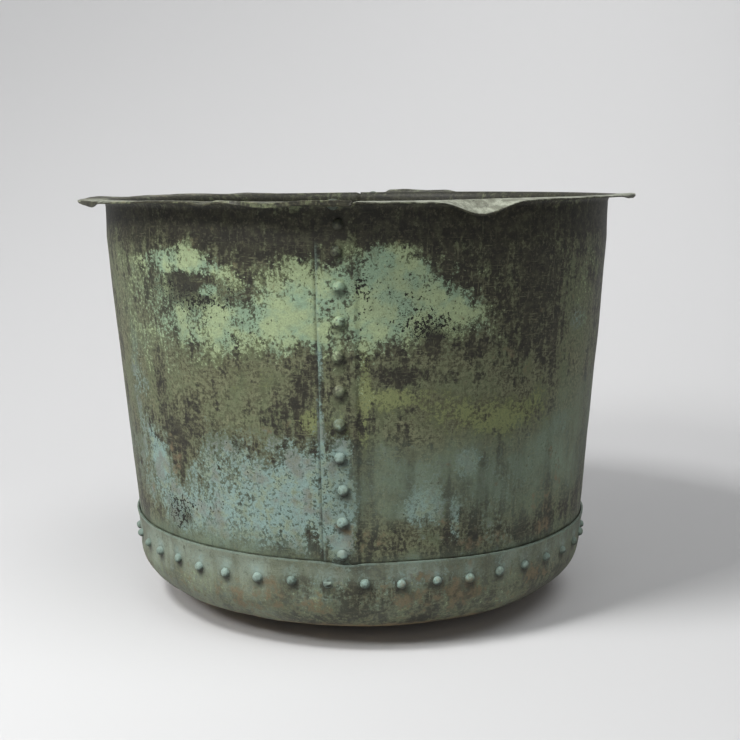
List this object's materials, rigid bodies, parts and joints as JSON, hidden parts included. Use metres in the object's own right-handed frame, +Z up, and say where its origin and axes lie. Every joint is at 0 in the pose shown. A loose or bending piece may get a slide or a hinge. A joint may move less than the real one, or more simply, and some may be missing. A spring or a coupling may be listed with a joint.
{
  "type": "riveted copper vat",
  "caption": "Round open vat of riveted sheet copper: tapered wall with a turned-out rim flange, lapped seams and a dished base pan, in green verdigris.",
  "frame": {"origin": "centre of the flat that the vat stands on, on the vat's own upright axis", "axes": "+Z up along the vat's axis; -Y towards the front, where one vertical lap is; +X to the right seen from the front"},
  "size_m": [0.6028, 0.6028, 0.439],
  "materials": {
    "wall_copper": "old copper sheet under matte green and black verdigris",
    "pan_copper": "old copper sheet under grey-green verdigris, worn brown at the knuckle",
    "rivet_copper": "hammered copper under pale blue-green verdigris"
  },
  "bodies": {
    "root": {"wall_sheet_left": "wall_copper", "wall_sheet_right": "wall_copper", "base_pan": "pan_copper", "base_seam_rivets": "rivet_copper", "front_seam_rivets": "rivet_copper", "rear_seam_rivets": "rivet_copper", "rim_lap_rivets": "rivet_copper"}
  },
  "joints": []
}
